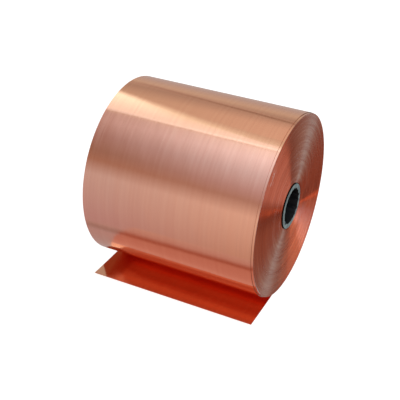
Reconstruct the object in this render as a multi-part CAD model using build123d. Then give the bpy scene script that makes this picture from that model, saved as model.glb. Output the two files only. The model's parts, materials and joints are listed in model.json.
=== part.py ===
from build123d import *
import os
from math import radians, tan

# A free-standing coil of bare copper foil strip, wound on a plastic core tube, with its free end
# lying on the bench.
#
# Frame, in millimetres: X runs along the coil's axis, Z is up, and the free end points towards -Y.
# The bench is z = 0. The coil touches it along the line y = 0, and x = 0 is the middle of the whole
# object, free end included.
#
# The strip is one long piece of foil. It is cut here into consecutive lengths, from the core outwards:
# first turn, wound pack, outer turn, the foot that the coil stands on, and the free end.

# Driving dimensions
BORE_DIAMETER = 25.4
CORE_WALL = 3.7
COIL_RADIUS = 66.25
STRIP_WIDTH = 127.0
FOIL = 0.2
TAIL_LENGTH = 58.3

# The core tube stands slightly proud of the foil at both ends, and its bore is deburred.
CORE_PROUD = 0.4
CORE_CHAMFER = 0.4

# A strip of double-sided tape on the core holds the inner end of the foil.
TAPE_THICKNESS = 0.1
TAPE_ARC = 50.0
TAPE_END_MARGIN = 8.0
FOIL_END_GAP = 10.0

# The pack turns inside the outer turn, which is wound a little loose and a little to the left. The
# foot and the free end lie further left again.
TURN_GAP = 0.2
OUTER_TURN_SHIFT = 1.6
TAIL_SHIFT = 2.5

# The loose outer turn leaves the coil at SLACK_ANGLE behind the bench line, bends flat on a soft
# radius, and comes round again to stop OVERLAP_ANGLE in front of the bench line, above the foot.
SLACK_ANGLE = 20.0
SLACK_BEND_RADIUS = 15.0
OVERLAP_ANGLE = 7.0

# Distances in front of the bench line at which the flat strip is split: where it stretches as foil is
# drawn off, and where the free end folds.
FOOT_FRONT = 10.0
PULL_LINE = 20.0
LIFT_LINE = 30.0
CURL_LINE = 44.0
FOLD_GAP = 0.05

# Derived dimensions
core_radius = BORE_DIAMETER / 2 + CORE_WALL
tape_radius = core_radius + TAPE_THICKNESS
first_turn_radius = tape_radius + FOIL
pack_radius = COIL_RADIUS - FOIL - TURN_GAP
foot_back = (COIL_RADIUS - SLACK_BEND_RADIUS) * tan(radians(SLACK_ANGLE / 2))

# The free end reaches further left than the core reaches right, so the coil sits off x = 0.
coil_x = (TAIL_SHIFT - CORE_PROUD) / 2
outer_turn_x = coil_x - OUTER_TURN_SHIFT
tail_x = coil_x - TAIL_SHIFT
axis_line = Pos(coil_x, 0, COIL_RADIUS) * Rot(0, 90, 0)


def arc_wall(inner_radius, outer_radius, start_angle, arc_angle, length):
    """Part of a tube wall about the coil's axis. Angles are seen from +X, from +Y towards +Z."""
    inner = CenterArc((0, 0), inner_radius, start_angle, arc_angle)
    outer = CenterArc((0, 0), outer_radius, start_angle, arc_angle)
    outline = [inner, outer, Line(inner @ 0, outer @ 0), Line(inner @ 1, outer @ 1)]
    section = Plane.YZ * make_face(outline)
    return Pos(coil_x, 0, COIL_RADIUS) * extrude(section, length / 2, both=True)


def tube(inner_radius, outer_radius, length):
    """A full tube about the coil's axis."""
    return axis_line * (Cylinder(outer_radius, length) - Cylinder(inner_radius, length))


def make_core_tube():
    core = tube(BORE_DIAMETER / 2, core_radius, STRIP_WIDTH + 2 * CORE_PROUD)
    bore_rims = [
        edge
        for edge in core.edges().filter_by(GeomType.CIRCLE)
        if abs(edge.radius - BORE_DIAMETER / 2) < CORE_CHAMFER / 2
    ]
    return chamfer(bore_rims, CORE_CHAMFER)


def make_starter_tape():
    return arc_wall(
        core_radius, tape_radius, 90 - TAPE_ARC / 2, TAPE_ARC, STRIP_WIDTH - 2 * TAPE_END_MARGIN
    )


def make_first_turn():
    """The innermost turn: it starts on the tape and stops one step short of a full circle."""
    return arc_wall(tape_radius, first_turn_radius, 90, 360 - FOIL_END_GAP, STRIP_WIDTH)


def make_pack():
    return tube(first_turn_radius, pack_radius, STRIP_WIDTH)


def outer_turn_path(inset):
    """One face of the outer turn as curves in YZ, inset into the coil, from the foot round to its end."""
    bend = CenterArc((foot_back, SLACK_BEND_RADIUS), SLACK_BEND_RADIUS - inset, -90, SLACK_ANGLE)
    round_arc = 360 - SLACK_ANGLE - OVERLAP_ANGLE
    turn = CenterArc((0, COIL_RADIUS), COIL_RADIUS - inset, SLACK_ANGLE - 90, round_arc)
    return [bend, Line(bend @ 1, turn @ 0), turn]


def make_outer_turn():
    outside = outer_turn_path(0)
    inside = outer_turn_path(FOIL)
    ends = [Line(outside[0] @ 0, inside[0] @ 0), Line(outside[-1] @ 1, inside[-1] @ 1)]
    section = Plane.YZ * make_face([*outside, *inside, *ends])
    return Pos(outer_turn_x, 0, 0) * extrude(section, STRIP_WIDTH / 2, both=True)


def make_flat_length(back, front):
    """A length of strip lying on the bench, between two distances in front of the bench line."""
    return Pos(tail_x, -(back + front) / 2, FOIL / 2) * Box(STRIP_WIDTH, front - back, FOIL)


pieces = {
    "core_tube": make_core_tube(),
    "starter_tape": make_starter_tape(),
    "foil_first_turn": make_first_turn(),
    "foil_pack": make_pack(),
    "foil_outer_turn": make_outer_turn(),
    "foil_foot": make_flat_length(-foot_back, FOOT_FRONT),
    "foil_paid_out": make_flat_length(FOOT_FRONT, PULL_LINE),
    "foil_tail_start": make_flat_length(PULL_LINE + FOLD_GAP, LIFT_LINE),
    "foil_tail_middle": make_flat_length(LIFT_LINE + FOLD_GAP, CURL_LINE),
    "foil_tail_end": make_flat_length(CURL_LINE + FOLD_GAP, TAIL_LENGTH),
}

os.makedirs("parts", exist_ok=True)
for name, piece in pieces.items():
    export_step(piece, f"parts/{name}.step")

print("coil axis at x", round(coil_x, 3), "z", COIL_RADIUS)
print("bore wall length", STRIP_WIDTH + 2 * CORE_PROUD - 2 * CORE_CHAMFER)
print("foot reaches back to y", round(foot_back, 3))
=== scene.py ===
import json
import math

import bpy
import numpy as np
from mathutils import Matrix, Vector


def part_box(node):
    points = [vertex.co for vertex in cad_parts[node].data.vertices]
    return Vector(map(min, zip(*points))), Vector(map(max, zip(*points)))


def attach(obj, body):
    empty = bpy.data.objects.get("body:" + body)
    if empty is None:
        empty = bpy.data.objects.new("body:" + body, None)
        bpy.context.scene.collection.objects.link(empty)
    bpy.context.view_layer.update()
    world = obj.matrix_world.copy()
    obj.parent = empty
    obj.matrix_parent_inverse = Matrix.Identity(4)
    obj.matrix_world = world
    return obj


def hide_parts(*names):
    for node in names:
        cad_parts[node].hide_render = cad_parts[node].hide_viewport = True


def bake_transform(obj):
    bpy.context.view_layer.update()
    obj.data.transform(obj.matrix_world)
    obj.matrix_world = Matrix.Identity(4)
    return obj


# A coil of bare copper foil strip on a plastic core tube. Everything is in metres, in the frame of the
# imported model: X along the coil's axis, Z up, and the free end of the foil pointing towards -Y.

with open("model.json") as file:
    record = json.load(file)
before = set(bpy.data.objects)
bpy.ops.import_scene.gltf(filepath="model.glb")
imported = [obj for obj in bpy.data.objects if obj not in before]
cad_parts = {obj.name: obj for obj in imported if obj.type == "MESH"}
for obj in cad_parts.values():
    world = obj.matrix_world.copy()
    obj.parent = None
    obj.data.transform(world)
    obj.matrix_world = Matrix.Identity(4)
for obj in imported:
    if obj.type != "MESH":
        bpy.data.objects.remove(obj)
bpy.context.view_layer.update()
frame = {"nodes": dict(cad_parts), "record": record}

MM = 0.001
rng = np.random.default_rng(7)

# Sizes read from the frame
pack_low, pack_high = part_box("foil_pack")
turn_low, turn_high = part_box("foil_outer_turn")
core_low, core_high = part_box("core_tube")
foot_low, foot_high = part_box("foil_foot")
end_low, end_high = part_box("foil_tail_end")
bore_mount = next(m for m in frame["record"]["mounts"] if m["name"] == "core_bore")

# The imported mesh's facets reach a little less far along +Y than upwards, so the reach along +Y is used,
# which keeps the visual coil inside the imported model's box
coil_radius = turn_high.y
coil_x = bore_mount["pos_m"][0]
bore_radius = bore_mount["dims"]["r_mm"] * MM
core_radius = (core_high.z - core_low.z) / 2
pack_radius = (pack_high.z - pack_low.z) / 2
foil = foot_high.z - foot_low.z
turn_x = (turn_low.x + turn_high.x) / 2
tail_x = (foot_low.x + foot_high.x) / 2
half_width = (foot_high.x - foot_low.x) / 2
foot_back = foot_high.y
tail_front = end_low.y

# The loose outer turn, as the frame has it
SLACK_ANGLE = math.radians(20)
SLACK_BEND_RADIUS = 15 * MM
OVERLAP_ANGLE = math.radians(7)

# The free end rises a little from the bench on its way to its front edge
TAIL_RISE = 2.0 * MM
RISE_POWER = 1.3
RISE_START = -22 * MM

# Where the visual strip is cut along Y, between its folds
SEAM_START = -23 * MM
SEAM_MIDDLE = -37 * MM

# How deep the long shallow waves in the outer turn are
RIPPLE_DEPTH = 0.07 * MM

# Points along the outer turn, round its soft bend, and on the straight between them
TURN_STEPS = 330
BEND_STEPS = 14
STRAIGHT_STEPS = 8

# Colours
COPPER = (0.94, 0.53, 0.38)
COPPER_DULL = (0.91, 0.48, 0.34)
COPPER_EDGES = (0.90, 0.31, 0.19)
# The darker edge tone: tarnish in rings and bands, the dark side of the painted ring glints, and painted
# shade beside the core
COPPER_EDGES_TARNISH_AND_SHADE = (0.74, 0.19, 0.10)
# Near-white copper for a painted glint on the right end
COPPER_PAINTED_GLINT = (0.95, 0.86, 0.84)
CORE_BLACK = (0.004, 0.005, 0.006)
CORE_WALL_WORN = (0.010, 0.012, 0.013)
CORE_GREY = (0.12, 0.18, 0.19)
CORE_PALE = (0.26, 0.37, 0.38)

# Chips in the rim of the bore: angle round the axis in radians, from -Y over the top, depth in mm, and
# half width in radians. The left end has only the shallow ones, mirrored.
SHALLOW_CHIP = 1.2
CORE_CHIPS = (
    (1.80, 0.4, 0.07), (2.25, 0.7, 0.06), (2.62, 1.0, 0.05), (2.98, 2.3, 0.06), (3.30, 1.3, 0.05),
    (3.75, 1.8, 0.09), (4.12, 0.9, 0.05), (5.60, 1.7, 0.08), (5.95, 0.5, 0.07),
)

# A pale patch near the rim of the right end, up from the front: a painted glint in the edges' colour
GLINT_ANGLE = math.radians(50)
GLINT_RADIUS = 0.92 * coil_radius
GLINT_PLACE = (
    pack_high.x,
    -GLINT_RADIUS * math.cos(GLINT_ANGLE),
    coil_radius + GLINT_RADIUS * math.sin(GLINT_ANGLE),
)


# ---------------------------------------------------------------- meshes


def smoothstep(value, start, end):
    t = np.clip((value - start) / (end - start), 0, 1)
    return t * t * (3 - 2 * t)


def add_mesh(name, loops, materials, close_rows, sharp_angle=40, column_material=None):
    """A solid skinned over closed loops of points, shape (loops, points, 3). Its UV map runs u along
    each loop, so u is the direction across the rolling marks. column_material numbers the material of
    each point's stretch of the loop, where there are several."""
    rows, cols = loops.shape[:2]
    last = rows if close_rows else rows - 1
    i, j = np.meshgrid(np.arange(last), np.arange(cols), indexing="ij")
    i_next, j_next = (i + 1) % rows, (j + 1) % cols
    corners = [i * cols + j, i * cols + j_next, i_next * cols + j_next, i_next * cols + j]
    faces = np.stack(corners, -1).reshape(-1, 4)

    steps = np.linalg.norm(np.roll(loops[0], -1, 0) - loops[0], axis=1)
    along = np.concatenate([[0], np.cumsum(steps)]) / steps.sum()
    u, u_next = along[j], along[j + 1]
    v, v_next = i / rows, (i + 1) / rows
    uv = np.stack([u, v, u_next, v, u_next, v_next, u, v_next], -1).reshape(-1, 2)

    if not close_rows:
        k = np.arange(cols // 2 - 1)
        front = np.stack([k, k + 1, cols - 2 - k, cols - 1 - k], -1)
        base = (rows - 1) * cols
        back = base + front
        faces = np.concatenate([faces, front[:, ::-1], back])
        uv = np.concatenate([uv, np.zeros((8 * len(k), 2))])

    mesh = bpy.data.meshes.new(name)
    mesh.from_pydata(loops.reshape(-1, 3).tolist(), [], faces.tolist())
    layer = mesh.uv_layers.new(name="grain")
    layer.data.foreach_set("uv", uv.astype(np.float32).ravel())
    mesh.polygons.foreach_set("use_smooth", [True] * len(mesh.polygons))
    mesh.set_sharp_from_angle(angle=math.radians(sharp_angle))
    for material in materials:
        mesh.materials.append(material)
    if column_material is not None:
        mesh.polygons.foreach_set("material_index", np.tile(column_material, last).astype(np.int32))
    mesh.update()
    obj = bpy.data.objects.new(name, mesh)
    bpy.context.scene.collection.objects.link(obj)
    return obj


def turn_path(inset):
    """The outer turn in YZ, from its end above the foot, up the front, over and down to the bench."""
    angle = np.linspace(OVERLAP_ANGLE, 2 * math.pi - SLACK_ANGLE, TURN_STEPS)
    radius = coil_radius - inset
    turn = np.stack([-radius * np.sin(angle), coil_radius - radius * np.cos(angle)], -1)
    angle = np.linspace(SLACK_ANGLE, 0, BEND_STEPS)
    radius = SLACK_BEND_RADIUS - inset
    bend = np.stack([foot_back + radius * np.sin(angle), SLACK_BEND_RADIUS - radius * np.cos(angle)], -1)
    share = np.linspace(0, 1, STRAIGHT_STEPS)[1:-1, None]
    straight = turn[-1] + (bend[0] - turn[-1]) * share
    return np.concatenate([turn, straight, bend])


def flat_path(back, front, inset, steps):
    """Strip lying on the bench, rising towards the front edge of the free end."""
    y = np.linspace(back, front, steps)
    rise = np.clip((RISE_START - y) / (RISE_START - tail_front), 0, 1)
    z = inset + TAIL_RISE * rise ** RISE_POWER
    return np.stack([y, z], -1)


def ripple(x, distance):
    """How far the foil dips, from 0 to 1: long shallow waves, slightly slanted across the strip."""
    # Each wave turns this many radians per 100 mm across and along the strip, from a starting phase
    waves = ((31, 9, 0.3), (17, 23, 1.9), (53, 14, 4.1), (11, 5, 2.6), (71, 37, 0.8))
    total = sum(np.sin(a * x / MM / 100 + b * distance / MM / 100 + c) for a, b, c in waves)
    return 0.5 + 0.5 * total / len(waves)


def strip(name, outer, inner, centre, depth, material, columns=44):
    """A length of foil: outer and inner are its two faces along its length, as points in YZ, centre is
    the middle of its width at each point, and depth is how deep it may dip there."""
    across = np.linspace(-half_width, half_width, columns)
    step = np.linalg.norm(np.diff(outer, axis=0), axis=1)
    distance = np.concatenate([[0], np.cumsum(step)])
    x = centre[:, None] + across[None, :]
    inward = (inner - outer) / np.linalg.norm(inner - outer, axis=1)[:, None]
    dip = depth[:, None] * ripple(x, distance[:, None])
    faces = []
    for side in (outer, inner):
        yz = side[:, None, :] + inward[:, None, :] * dip[..., None]
        faces.append(np.concatenate([x[..., None], yz], -1))
    loops = np.concatenate([faces[0], faces[1][:, ::-1]], axis=1)
    return add_mesh(name, loops, [material], close_rows=False)


def make_outer_turn(material):
    """The outermost turn, drifting sideways over its last stretch to meet the strip on the bench."""
    outer, inner = turn_path(0), turn_path(foil)
    station = np.linspace(0, 1, len(outer))
    centre = turn_x + (tail_x - turn_x) * smoothstep(station, 0.5, 0.95)
    depth = RIPPLE_DEPTH * (1 - smoothstep(station, 0.85, 0.95))
    obj = strip("foil_outer_sheet", outer, inner, centre, depth, material)
    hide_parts("foil_outer_turn")
    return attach(obj, "outer_turn")


def make_bench_run(material):
    """The strip on the bench, from under the coil to the free end."""
    steps = 60
    outer = flat_path(foot_back, SEAM_START, 0, steps)
    inner = flat_path(foot_back, SEAM_START, foil, steps)
    obj = strip("foil_bench_run", outer, inner, np.full(steps, tail_x), np.zeros(steps), material)
    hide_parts("foil_foot", "foil_paid_out", "foil_tail_start")
    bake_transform(obj)
    return obj


def make_tail_piece(name, node, back, front, material):
    """A length of the free end, between two cuts across it."""
    steps = 28
    outer = flat_path(back, front, 0, steps)
    inner = flat_path(back, front, foil, steps)
    obj = strip(name, outer, inner, np.full(steps, tail_x), np.zeros(steps), material)
    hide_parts(node)
    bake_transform(obj)
    return obj


def face_relief(radii, angle):
    """Depth of the wound pack's end below its plane: turns that stand in or out, unevenly all round."""
    count = len(radii)
    # Depths in millimetres. Neighbouring turns drift in and out together, about one in ten is set back,
    # the winding wobbles all round, and the turns beside the core are sunk.
    steps = rng.normal(0, 1, count)
    drift = np.convolve(steps, np.ones(5) / 5, "same")
    jumps = np.where(rng.random(count) < 0.10, rng.random(count) * 2.2, 0)
    phase = rng.random(count) * 0.8 + np.linspace(0, 9, count)
    wave = np.sin(angle[:, None] + phase[None, :]) + 0.5 * np.sin(3 * angle[:, None] + 2 * phase[None, :])
    sunk = 0.35 * np.exp(-((radii - radii[0]) / (1.6 * MM)) ** 2)
    relief = 0.12 + 0.10 * drift[None, :] + 0.05 * jumps[None, :] + 0.02 * wave + sunk[None, :]
    return np.clip(relief, 0.0, 0.55) * MM


def make_pack(edges, surface, turns=118, segments=180):
    """The wound pack, with every two turns of foil or so as one ridge on both ends."""
    angle = np.linspace(0, 2 * math.pi, segments, endpoint=False)
    inner_radius = core_radius + 0.2 * MM
    # Each ridge falls outwards over most of its width, at 5 to 14 degrees, then steps up to the next one.
    # Up to 3 of those degrees are shared by four ridges in a row.
    pitch = (pack_radius - inner_radius) / turns
    fall = 0.88 * pitch
    radii = (inner_radius + pitch * np.arange(turns)[:, None] + np.array([0, fall])[None, :]).ravel()
    radii[-1] = pack_radius
    slope = np.radians(5 + 6 * rng.random(turns) + 3 * np.repeat(rng.random(turns // 4 + 1), 4)[:turns])
    valley = np.stack([np.zeros(turns), fall * np.tan(slope)], -1).ravel()
    ends = []
    for plane, side in ((pack_high.x, 1), (pack_low.x, -1)):
        crest = np.repeat(face_relief(radii[::2], angle), 2, axis=1)
        # The outermost ridges stand flush, so that the rim is a clean line
        flush = smoothstep(radii, pack_radius - 1.0 * MM, pack_radius - 0.4 * MM)
        x = plane - side * (crest + valley[None, :]) * (1 - flush[None, :])
        ends.append(x)
    right, left = ends
    middle = 4
    barrel = np.linspace(right[:, -1], left[:, -1], middle + 2, axis=1)[:, 1:-1]
    bore = np.linspace(left[:, 0], right[:, 0], middle + 2, axis=1)[:, 1:-1]
    x = np.concatenate([right, barrel, left[:, ::-1], bore], axis=1)
    outside, inside = np.full(middle, pack_radius), np.full(middle, inner_radius)
    radius = np.concatenate([radii, outside, radii[::-1], inside])
    y = -radius[None, :] * np.cos(angle)[:, None]
    z = coil_radius + radius[None, :] * np.sin(angle)[:, None]
    on_barrel = np.zeros(len(radius), int)
    on_barrel[len(radii) - 1:len(radii) + middle] = 1
    loops = np.stack([x, y, z], -1)
    obj = add_mesh("foil_pack_wound", loops, [edges, surface], True, 20, on_barrel)
    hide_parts("foil_pack")
    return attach(obj, "roll")


def make_core(wall, cut, segments=240):
    """The core tube: dark pipe, its saw-cut ends scuffed grey, with a chipped rim round its bore."""
    angle = np.linspace(0, 2 * math.pi, segments, endpoint=False)
    rim = {}
    for side in (1, -1):
        ragged = np.convolve(rng.random(segments + 4), np.ones(5) / 5, "valid")
        chips = sum(
            depth * np.exp(-(np.angle(np.exp(1j * (angle - side * place))) / width) ** 2)
            for place, depth, width in CORE_CHIPS
            if side > 0 or depth < SHALLOW_CHIP
        )
        # How far the rim is broken back at each angle
        rim[side] = (0.05 + 0.40 * ragged + chips) * MM
    # Saw marks, spaced round the ring as straight upright cuts would be, though each runs radially
    saw = 0.03 * MM * (1 + np.sin(23 * np.cos(angle)))
    round_edge = 0.15 * MM
    land = core_radius - 0.3 * MM
    loops = []
    # Each section runs from the bore over the right end's face, along the outside and back over the left's
    for k, a in enumerate(angle):
        right, left = core_high.x - saw[k], core_low.x + saw[k]
        profile = [
            (right - 1.6 * rim[1][k], bore_radius),
            (right - 0.2 * rim[1][k], bore_radius + 0.55 * rim[1][k]),
            (right, bore_radius + rim[1][k]),
            (right, land),
            (right, core_radius - round_edge),
            (right - round_edge, core_radius),
            (left + round_edge, core_radius),
            (left, core_radius - round_edge),
            (left, land),
            (left, bore_radius + rim[-1][k]),
            (left + 0.2 * rim[-1][k], bore_radius + 0.55 * rim[-1][k]),
            (left + 1.6 * rim[-1][k], bore_radius),
        ]
        loops.append([(x, -r * math.cos(a), coil_radius + r * math.sin(a)) for x, r in profile])
    is_cut = np.array([0, 0, 1, 1, 0, 0, 0, 1, 1, 0, 0, 0])
    obj = add_mesh("core_pipe", np.array(loops), [wall, cut], True, 30, is_cut)
    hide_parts("core_tube")
    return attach(obj, "roll")


# ---------------------------------------------------------------- materials


class NodeTree:
    """Short calls for building a node tree."""

    def __init__(self, tree):
        self.tree = tree

    def add(self, kind, **settings):
        node = self.tree.nodes.new(kind)
        for key, value in settings.items():
            setattr(node, key, value)
        return node

    def link(self, source, target):
        self.tree.links.new(source, target)

    def maths(self, operation, *values, clamp=False):
        node = self.add("ShaderNodeMath", operation=operation, use_clamp=clamp)
        for socket, value in zip(node.inputs, values):
            if isinstance(value, (int, float)):
                socket.default_value = value
            else:
                self.link(value, socket)
        return node.outputs["Value"]

    def times(self, first, second, clamp=False):
        return self.maths("MULTIPLY", first, second, clamp=clamp)


class MaterialNodes(NodeTree):
    """The node tree of one material, round its Principled shader."""

    def __init__(self, name):
        self.material = bpy.data.materials.new(name)
        self.material.use_nodes = True
        super().__init__(self.material.node_tree)
        self.shader = self.tree.nodes["Principled BSDF"]

    def noise_of(self, vector, detail, scale=1):
        noise = self.add("ShaderNodeTexNoise")
        noise.inputs["Scale"].default_value = scale
        noise.inputs["Detail"].default_value = detail
        self.link(vector, noise.inputs["Vector"])
        return noise.outputs["Fac"]

    def noise(self, scale, stretch=(1, 1, 1), detail=3.0):
        """Noise in object space, drawn out along an axis where stretch is small."""
        where = self.add("ShaderNodeTexCoord")
        mapping = self.add("ShaderNodeMapping")
        mapping.inputs["Scale"].default_value = stretch
        self.link(where.outputs["Object"], mapping.inputs["Vector"])
        return self.noise_of(mapping.outputs["Vector"], detail, scale)

    def polar(self):
        """Distance from the coil's axis and angle round it, from the object's own coordinates."""
        where = self.add("ShaderNodeTexCoord")
        parts = self.add("ShaderNodeSeparateXYZ")
        self.link(where.outputs["Object"], parts.inputs["Vector"])
        height = self.maths("SUBTRACT", parts.outputs["Z"], coil_radius)
        square = self.maths("ADD", self.maths("POWER", parts.outputs["Y"], 2), self.times(height, height))
        return self.maths("SQRT", square), self.maths("ARCTAN2", height, parts.outputs["Y"])

    def together(self, radius, around, radial_scale, around_scale):
        """A place for noise that changes quickly with radius and slowly round the coil. The angle goes
        in as a sine and a cosine, so that there is no seam."""
        node = self.add("ShaderNodeCombineXYZ")
        self.link(self.times(radius, radial_scale), node.inputs["X"])
        self.link(self.times(self.maths("SINE", around), around_scale), node.inputs["Y"])
        self.link(self.times(self.maths("COSINE", around), around_scale), node.inputs["Z"])
        return node.outputs["Vector"]

    def distance_to(self, place):
        """How far each point of the object is from a place."""
        where = self.add("ShaderNodeTexCoord")
        node = self.add("ShaderNodeVectorMath", operation="DISTANCE")
        self.link(where.outputs["Object"], node.inputs[0])
        node.inputs[1].default_value = place
        return node.outputs["Value"]

    def ranged(self, value, low, high, start=0.3, end=0.7):
        """The value from start to end, spread over low to high and held at both."""
        node = self.add("ShaderNodeMapRange")
        self.link(value, node.inputs["Value"])
        for key, number in (("From Min", start), ("From Max", end), ("To Min", low), ("To Max", high)):
            node.inputs[key].default_value = number
        return node.outputs["Result"]

    def colours(self, factor, first, second):
        """A mix of two colours, each a constant or another node's."""
        node = self.add("ShaderNodeMix", data_type="RGBA")
        self.link(factor, node.inputs["Factor"])
        for socket, colour in ((node.inputs[6], first), (node.inputs[7], second)):
            if isinstance(colour, tuple):
                socket.default_value = (*colour, 1)
            else:
                self.link(colour, socket)
        return node.outputs[2]

    def bump(self, height, strength, distance):
        node = self.add("ShaderNodeBump")
        node.inputs["Strength"].default_value = strength
        node.inputs["Distance"].default_value = distance
        self.link(height, node.inputs["Height"])
        self.link(node.outputs["Normal"], self.shader.inputs["Normal"])

    def grain(self, anisotropy):
        """Highlights spread along u of the grain map, across the rolling marks."""
        tangent = self.add("ShaderNodeTangent", direction_type="UV_MAP", uv_map="grain")
        self.link(tangent.outputs["Tangent"], self.shader.inputs["Tangent"])
        self.shader.inputs["Anisotropic"].default_value = anisotropy


def foil_material():
    """Rolled copper: fine marks along the strip, with slow changes of polish. Noise scales count bumps
    per metre."""
    n = MaterialNodes("copper_foil_surface")
    fine = n.noise(1700, (1, 0.006, 0.006))
    broad = n.noise(480, (1, 0.015, 0.015))
    cloud = n.noise(22, (1, 0.6, 0.6))
    tone = n.colours(n.ranged(broad, 0, 1), COPPER, COPPER_DULL)
    tone = n.colours(n.ranged(cloud, 0, 0.2), tone, COPPER_DULL)
    n.link(tone, n.shader.inputs["Base Color"])
    n.link(n.ranged(fine, 0.09, 0.18), n.shader.inputs["Roughness"])
    n.shader.inputs["Metallic"].default_value = 1
    n.grain(0.8)
    n.bump(n.maths("ADD", fine, broad), 0.12, 0.00005)
    return n.material


def edge_material():
    """The cut edges of the turns, side by side on the ends of the pack: rings of more and less tarnish,
    which partly stand in for the glints of single turns as painted light, painted shade beside the core,
    and a pale painted glint near the rim."""
    n = MaterialNodes("copper_foil_edges")
    radius, around = n.polar()
    rings = n.noise_of(n.together(radius, around, 640, 0.8), 2.0)
    bands = n.noise_of(n.together(radius, around, 290, 0.3), 2.0)
    # Rings of lighter and darker edge tone: partly tarnish and partly painted glints of single turns
    tone = n.colours(n.ranged(rings, 0, 0.9, 0.35, 0.65), COPPER_EDGES, COPPER_EDGES_TARNISH_AND_SHADE)
    tone = n.colours(n.ranged(bands, 0, 0.45, 0.4, 0.7), tone, COPPER_EDGES_TARNISH_AND_SHADE)
    # Painted shade: the edges darken towards the core, where the sunk turns next to it lie in shade
    painted_shade_near_core = n.ranged(radius, 0.6, 0, core_radius, core_radius + 4 * MM)
    tone = n.colours(painted_shade_near_core, tone, COPPER_EDGES_TARNISH_AND_SHADE)
    # A pale painted glint near the rim of the right end, up from the front
    painted_glint = n.times(
        n.ranged(n.noise_of(n.together(radius, around, 700, 9), 3.0), 0, 1, 0.56, 0.62),
        n.ranged(n.distance_to(GLINT_PLACE), 1, 0, 4 * MM, 9 * MM),
    )
    tone = n.colours(painted_glint, tone, COPPER_PAINTED_GLINT)
    n.link(tone, n.shader.inputs["Base Color"])
    n.link(n.ranged(rings, 0.14, 0.28), n.shader.inputs["Roughness"])
    n.shader.inputs["Metallic"].default_value = 1
    n.grain(1.0)
    return n.material


def core_material(name, first, second, low, high, gloss):
    """Pipe plastic with a tone mottled between two colours, and roughness from low to high."""
    n = MaterialNodes(name)
    speckle = n.noise(1400, detail=4.0)
    blotch = n.noise(260)
    tone = n.colours(n.ranged(blotch, 0, 1), first, second)
    n.link(tone, n.shader.inputs["Base Color"])
    n.link(n.ranged(speckle, low, high), n.shader.inputs["Roughness"])
    n.shader.inputs["Specular IOR Level"].default_value = gloss
    n.bump(speckle, 0.35, 0.0002)
    return n.material


def tape_material():
    """Yellowed double-sided tape with a fibrous carrier."""
    n = MaterialNodes("starter_tape_surface")
    fibres = n.noise(600, (0.1, 1, 1))
    tone = n.colours(n.ranged(fibres, 0, 1), (0.72, 0.66, 0.50), (0.60, 0.53, 0.38))
    n.link(tone, n.shader.inputs["Base Color"])
    n.link(n.ranged(fibres, 0.5, 0.7), n.shader.inputs["Roughness"])
    n.bump(fibres, 0.2, 0.0001)
    return n.material


# ---------------------------------------------------------------- stage

CAMERA_AZIMUTH = math.radians(26.63)
CAMERA_ELEVATION = math.radians(33.90)
CAMERA_DISTANCE = 9.348 * coil_radius
AIM_LEFT = 0.1007 * coil_radius
AIM_HEIGHT = 0.7537 * coil_radius
SIDE_LIGHT_WATTS = 0.5
camera_side = Vector((
    math.sin(CAMERA_AZIMUTH) * math.cos(CAMERA_ELEVATION),
    -math.cos(CAMERA_AZIMUTH) * math.cos(CAMERA_ELEVATION),
    math.sin(CAMERA_ELEVATION),
))
camera_target = Vector(((turn_low.x + pack_high.x) / 2 - AIM_LEFT, 0, AIM_HEIGHT))
camera_place = camera_target + camera_side * CAMERA_DISTANCE

# The studio round the coil's axis: the angle from -Y up over the top, in degrees, and the light there
# on the far left and nearer the middle
ROOM = (0.50, 0.45, 0.42)
CEILING = (0.60, 0.55, 0.45)
CEILING_GAP = (0.42, 0.36, 0.31)
SURROUNDINGS = (
    (-180, ROOM, ROOM),
    (-90, (0.45, 0.38, 0.40), (0.50, 0.40, 0.40)),
    (-50, (0.50, 0.40, 0.45), (0.55, 0.40, 0.35)),
    (10, (0.60, 0.57, 0.60), (0.75, 0.65, 0.60)),
    (28, (0.40, 0.27, 0.22), (0.45, 0.33, 0.30)),
    (40, (0.35, 0.25, 0.22), (0.53, 0.45, 0.50)),
    (60, (0.43, 0.35, 0.37), (0.70, 0.75, 0.90)),
    (80, (0.60, 0.55, 0.60), (1.00, 1.10, 1.30)),
    (92, (0.60, 0.55, 0.58), (1.05, 1.15, 1.25)),
    (97, CEILING, (0.75, 0.65, 0.55)),
    (130, CEILING, (0.70, 0.60, 0.50)),
    (150, CEILING_GAP, CEILING_GAP),
    (162, CEILING, CEILING),
    (180, ROOM, ROOM),
)

# The studio beyond the coil's right end: flats of different brightness, fanned out round the line from
# the coil's end to the front right. The fan angle runs as the one above, over a whole turn.
DARK = (0.17, 0.08, 0.06)
DIM = (0.28, 0.17, 0.13)
GREY = (0.30, 0.28, 0.25)
WARM = (0.53, 0.39, 0.36)
SLIT = (0.85, 0.35, 0.18)
COOL_STREAK = (0.40, 0.56, 0.60)
COOL_PANEL = (0.80, 1.25, 1.60)
RIGHT_FLATS = (
    (0, DIM),
    (15, DARK),
    (20, DARK),
    (23, SLIT),
    (26, DARK),
    (35, WARM),
    (75, WARM),
    (83, (0.65, 0.42, 0.35)),
    (86, DARK),
    (114, GREY),
    (122, COOL_STREAK),
    (130, GREY),
    (150, DARK),
    (180, DIM),
    (194, DARK),
    (197, SLIT),
    (200, DARK),
    (207, COOL_PANEL),
    (255, COOL_PANEL),
    (259, DIM),
    (285, DIM),
    (304, GREY),
    (311, COOL_STREAK),
    (318, GREY),
    (335, DIM),
    (360, DIM),
)


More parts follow.
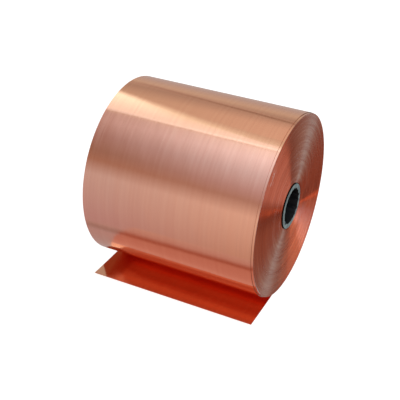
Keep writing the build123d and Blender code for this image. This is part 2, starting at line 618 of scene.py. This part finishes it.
class WorldNodes(NodeTree):
    """The studio's own node tree."""

    def __init__(self):
        world = bpy.data.worlds.new("studio")
        bpy.context.scene.world = world
        world.use_nodes = True
        super().__init__(world.node_tree)

    def ramp(self, place, stops):
        """Colours along 0 to 1, from (place, colour) pairs."""
        node = self.add("ShaderNodeValToRGB")
        elements = node.color_ramp.elements
        while len(elements) < len(stops):
            elements.new(0.5)
        for element, (position, colour) in zip(elements, stops):
            element.position = position
            element.color = (*colour, 1)
        self.link(place, node.inputs["Fac"])
        return node.outputs["Color"]

    def mixed(self, factor, first, second):
        node = self.add("ShaderNodeMix", data_type="RGBA", clamp_factor=False)
        self.link(factor, node.inputs["Factor"])
        self.link(first, node.inputs[6])
        self.link(second, node.inputs[7])
        return node.outputs[2]

    def fade(self, value, start, steepness):
        """0 up to start, then rising at this steepness to 1."""
        return self.times(self.maths("ADD", value, -start), steepness, clamp=True)


def make_world():
    """The light from each direction, given as x, y and z of that direction."""
    w = WorldNodes()
    where = w.add("ShaderNodeTexCoord")
    parts = w.add("ShaderNodeSeparateXYZ")
    w.link(where.outputs["Generated"], parts.inputs["Vector"])
    x, y, z = (parts.outputs[axis] for axis in "XYZ")

    angle = w.maths("ARCTAN2", z, w.times(y, -1))
    place = w.maths("ADD", w.times(angle, 0.5 / math.pi), 0.5)
    far_left = w.ramp(place, [((a + 180) / 360, colour) for a, colour, _ in SURROUNDINGS])
    middle = w.ramp(place, [((a + 180) / 360, colour) for a, _, colour in SURROUNDINGS])
    # From the far left at x = -0.47 to the middle at -0.33, and on a little at both sides
    across = w.times(w.maths("ADD", x, 0.47), 1 / 0.14)
    across = w.maths("MINIMUM", w.maths("MAXIMUM", across, -0.3), 1.3)
    around = w.mixed(across, far_left, middle)

    fan_line = (camera_place - Vector((pack_high.x, 0, coil_radius))).normalized()
    up = w.maths("ADD", z, fan_line.z)
    back = w.maths("ADD", y, fan_line.y)
    fan = w.maths("ARCTAN2", up, w.times(back, -1))
    fan = w.maths("FRACT", w.times(fan, 0.5 / math.pi))
    flats = w.ramp(fan, [(a / 360, colour) for a, colour in RIGHT_FLATS])
    # The flats stand beyond the right end, low down, and not straight in front
    beyond_end = w.fade(x, -0.25, 10)
    not_in_front = w.fade(y, -1.0, 5)
    low_down = w.fade(w.times(z, -1), -0.3, 4)
    among_flats = w.times(beyond_end, w.times(not_in_front, low_down))
    w.link(w.mixed(among_flats, around, flats), w.tree.nodes["Background"].inputs["Color"])


def add_card(name, rows, height=None, strength=1.0):
    """A studio card that only reflections see, as a grid of points: rows of (x, y, z, colour), or of
    (x, y, colour) at one height. Places are in coil radii from the bench line, and colours run smoothly
    from point to point."""
    if height is not None:
        rows = [[(x, y, height, colour) for x, y, colour in row] for row in rows]
    cols = len(rows[0])
    flat = [point for row in rows for point in row]
    faces = [
        (i * cols + j, i * cols + j + 1, (i + 1) * cols + j + 1, (i + 1) * cols + j)
        for i in range(len(rows) - 1)
        for j in range(cols - 1)
    ]
    mesh = bpy.data.meshes.new(name)
    points = [(coil_x + x * coil_radius, y * coil_radius, z * coil_radius) for x, y, z, _ in flat]
    mesh.from_pydata(points, [], faces)
    glow = mesh.attributes.new("glow", "FLOAT_COLOR", "POINT")
    glow.data.foreach_set("color", [c for *_, colour in flat for c in (*colour, 1)])

    material = bpy.data.materials.new(name)
    material.use_nodes = True
    tree = material.node_tree
    tree.nodes.clear()
    colour = tree.nodes.new("ShaderNodeAttribute")
    colour.attribute_name = "glow"
    emission = tree.nodes.new("ShaderNodeEmission")
    emission.inputs["Strength"].default_value = strength
    output = tree.nodes.new("ShaderNodeOutputMaterial")
    tree.links.new(colour.outputs["Color"], emission.inputs["Color"])
    tree.links.new(emission.outputs["Emission"], output.inputs["Surface"])
    mesh.materials.append(material)

    card = bpy.data.objects.new(name, mesh)
    bpy.context.scene.collection.objects.link(card)
    card.visible_camera = False
    card.visible_diffuse = False
    card.visible_shadow = False


def make_softbox():
    """A wedge-shaped soft light overhead, brightest on the left, with a thin bright lip in front."""
    ceiling = (0.66, 0.60, 0.50)
    front = (1.10, 1.20, 1.20)
    # Place along X, how far back the light reaches, its colour there, and the lip's
    stations = (
        (-3.40, 1.95, (1.50, 1.90, 1.75), (0.70, 0.75, 0.80)),
        (-2.20, 1.26, (1.45, 1.75, 1.60), (0.90, 0.95, 1.00)),
        (-1.10, 0.60, (1.05, 1.15, 0.98), (1.15, 1.30, 1.36)),
        (-0.05, 0.28, (0.86, 0.88, 0.76), (1.30, 1.55, 1.65)),
        (0.60, 0.16, (0.80, 0.80, 0.70), (1.30, 1.55, 1.65)),
    )
    rows = [
        [
            (x, reach + 0.22, ceiling),
            (x, reach - 0.16, colour),
            (x, 0.02, front),
            (x, -0.10, front),
            (x, -0.16, lip),
            (x, -0.24, lip),
        ]
        for x, reach, colour, lip in stations
    ]
    add_card("overhead_softbox", rows, height=4)


def far_edge(x):
    """How far in front the dark far edge on the floor lies, slightly slanted."""
    return -1.435 - 0.09 * x


def make_floor_cards():
    """Where the strip would run on in front of its free end: copper-coloured, with a dark far edge."""
    rows = []
    for x in (-1.0, 0.0, 0.93):
        edge = far_edge(x)
        rows.append([
            (x, edge - 0.50, (0.58, 0.43, 0.40)),
            (x, edge - 0.20, (0.53, 0.34, 0.31)),
            (x, edge - 0.02, (0.37, 0.13, 0.09)),
            (x, edge + 0.01, (0.37, 0.13, 0.09)),
            (x, edge + 0.11, (0.52, 0.25, 0.20)),
            (x, -1.04, (0.56, 0.28, 0.23)),
            (x, -0.89, (0.64, 0.34, 0.28)),
        ])
    add_card("floor_warm_card", rows, height=0.01)
    rows = []
    for x in (-1.8, -1.0):
        edge = far_edge(x)
        rows.append([
            (x, edge - 0.16, (0.46, 0.38, 0.40)),
            (x, edge, (0.36, 0.28, 0.28)),
            (x, edge + 0.12, (0.45, 0.38, 0.41)),
        ])
    add_card("floor_far_edge", rows, height=0.01)


def make_ceiling_gap():
    """A dim gap between two ceiling panels, darker towards the right."""
    panels = (0.55, 0.48, 0.41)
    # Place along X, how far back the gap is, how soft its edges are, and its colour
    stations = (
        (-4.0, 5.40, 0.80, (0.42, 0.34, 0.29)),
        (-0.1, 2.95, 0.38, (0.28, 0.20, 0.15)),
    )
    rows = [
        [(x, y - softness, panels), (x, y, gap), (x, y + softness, panels)]
        for x, y, softness, gap in stations
    ]
    add_card("ceiling_gap", rows, height=4.1)


def make_left_flag():
    """A small dark card that keeps stray light out of the gap between coil and bench at its left end."""
    red = (0.26, 0.05, 0.02)
    rows = [
        [(-1.0, -0.70, 0.0, red), (-1.0, -0.60, 0.28, red)],
        [(-1.0, -0.10, 0.0, red), (-1.0, -0.10, 0.28, red)],
    ]
    add_card("left_flag", rows)


def make_side_light():
    """A soft light from the right, for the plastic: too broad to show in the copper."""
    data = bpy.data.lights.new("side_light", "AREA")
    data.shape = "DISK"
    data.size = 4 * coil_radius
    data.energy = SIDE_LIGHT_WATTS
    light = bpy.data.objects.new("side_light", data)
    bpy.context.scene.collection.objects.link(light)
    towards = Vector((0.85, -0.40, 0.35)).normalized()
    light.location = Vector((pack_high.x, 0, coil_radius)) + towards * 6 * coil_radius
    light.rotation_mode = "QUATERNION"
    light.rotation_quaternion = (-towards).to_track_quat("-Z", "Y")
    light.visible_glossy = False


def make_floor():
    """A pale floor that runs up into a wall all round, shown to the camera only."""
    segments = 48
    floor_radius, wall_height, cove = 60 * coil_radius, 70 * coil_radius, 12 * coil_radius
    profile = [(0, 0), (floor_radius - cove, 0)]
    for a in np.linspace(0, math.pi / 2, 10)[1:]:
        profile.append((floor_radius - cove + cove * math.sin(a), cove - cove * math.cos(a)))
    profile.append((floor_radius, wall_height))
    clearance = 0.05 * MM
    points, faces = [], []
    for r, z in profile:
        for k in range(segments):
            a = 2 * math.pi * k / segments
            points.append((r * math.cos(a), r * math.sin(a), z - clearance))
    for i in range(len(profile) - 1):
        row, next_row = i * segments, (i + 1) * segments
        for k in range(segments):
            n = (k + 1) % segments
            faces.append((row + k, row + n, next_row + n, next_row + k))
    mesh = bpy.data.meshes.new("floor")
    mesh.from_pydata(points, [], faces)
    mesh.polygons.foreach_set("use_smooth", [True] * len(mesh.polygons))
    material = bpy.data.materials.new("floor_pale")
    material.use_nodes = True
    shader = material.node_tree.nodes["Principled BSDF"]
    shader.inputs["Base Color"].default_value = (0.45, 0.45, 0.45, 1)
    shader.inputs["Roughness"].default_value = 1
    shader.inputs["Specular IOR Level"].default_value = 0
    shader.inputs["Emission Color"].default_value = (1, 1, 1, 1)
    shader.inputs["Emission Strength"].default_value = 0.88
    mesh.materials.append(material)
    floor = bpy.data.objects.new("floor", mesh)
    bpy.context.scene.collection.objects.link(floor)
    floor.visible_glossy = False
    floor.visible_diffuse = False
    floor.visible_shadow = False


def make_camera():
    """Seen from in front, round to the right and from above, through a moderate telephoto lens."""
    data = bpy.data.cameras.new("camera")
    data.lens = 75.46
    data.sensor_width = 36
    data.clip_start = 0.01
    data.clip_end = 50
    camera = bpy.data.objects.new("camera", data)
    bpy.context.scene.collection.objects.link(camera)
    camera.location = camera_place
    camera.rotation_mode = "QUATERNION"
    camera.rotation_quaternion = (-camera_side).to_track_quat("-Z", "Y")
    bpy.context.scene.camera = camera


# ---------------------------------------------------------------- scene

surface = foil_material()
edges = edge_material()
make_camera()
foil_pieces = [
    make_outer_turn(surface),
    make_bench_run(surface),
    make_tail_piece(
        "foil_tail_fold", "foil_tail_middle", SEAM_START, SEAM_MIDDLE,
        surface,
    ),
    make_tail_piece(
        "foil_tail_tip", "foil_tail_end", SEAM_MIDDLE, tail_front,
        surface,
    ),
    make_pack(edges, surface),
]
make_core(
    core_material("core_pipe_wall", CORE_BLACK, CORE_WALL_WORN, 0.35, 0.55, 0.15),
    core_material("core_pipe_cut", CORE_GREY, CORE_PALE, 0.5, 0.75, 0.5),
)
frame["nodes"]["foil_first_turn"].data.materials.clear()
frame["nodes"]["foil_first_turn"].data.materials.append(edges)
frame["nodes"]["starter_tape"].data.materials.clear()
frame["nodes"]["starter_tape"].data.materials.append(tape_material())

make_world()
make_softbox()
make_floor_cards()
make_ceiling_gap()
make_left_flag()
make_side_light()
make_floor()
bpy.context.scene.view_settings.view_transform = "Standard"
# Light bounces many times between the free end and the coil above it
bpy.context.scene.cycles.glossy_bounces = 14
bpy.context.scene.cycles.max_bounces = 16
